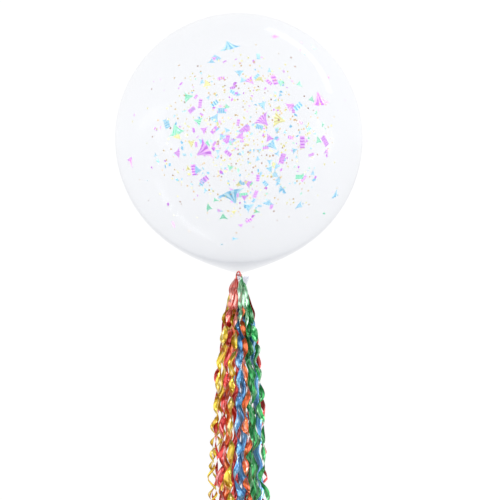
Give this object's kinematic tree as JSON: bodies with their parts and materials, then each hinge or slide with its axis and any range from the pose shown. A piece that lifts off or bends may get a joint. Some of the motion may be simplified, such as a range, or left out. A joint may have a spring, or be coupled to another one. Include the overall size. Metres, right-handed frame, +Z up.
{
  "type": "giant confetti balloon with foil streamer tail",
  "caption": "Giant clear round party balloon with pastel foil confetti inside, lying with a tail of twisted foil streamers looped round its knotted neck.",
  "frame": {"origin": "middle of the balloon's flat spot, on the surface that it lies on", "axes": "+Z up, -Y the way the neck and the tail point, +X to the right for someone who looks along +Y"},
  "size_m": [0.8998, 1.8254, 0.8988],
  "materials": {
    "clear_latex": "thin clear latex, glossy, faintly milky where it thickens towards the neck",
    "yellow_foil": "metallised plastic film, shiny",
    "red_foil": "metallised plastic film, shiny",
    "orange_foil": "metallised plastic film, shiny",
    "blue_foil": "metallised plastic film, shiny",
    "green_foil": "metallised plastic film, shiny",
    "confetti_foil": "pearly pastel foil in lilac, sky blue, mint and yellow"
  },
  "bodies": {
    "root": {"balloon": "clear_latex", "tail_loop": "red_foil", "yellow_streamer_1": "yellow_foil", "yellow_streamer_2": "yellow_foil", "yellow_streamer_3": "yellow_foil", "yellow_streamer_4": "yellow_foil", "red_streamer_1": "red_foil", "red_streamer_2": "red_foil", "red_streamer_3": "red_foil", "red_streamer_4": "red_foil", "red_streamer_5": "red_foil", "orange_streamer_1": "orange_foil", "orange_streamer_2": "orange_foil", "orange_streamer_3": "orange_foil", "blue_streamer_1": "blue_foil", "blue_streamer_2": "blue_foil", "blue_streamer_3": "blue_foil", "blue_streamer_4": "blue_foil", "green_streamer_1": "green_foil", "green_streamer_2": "green_foil", "green_streamer_3": "green_foil", "green_streamer_4": "green_foil"}
  },
  "joints": []
}
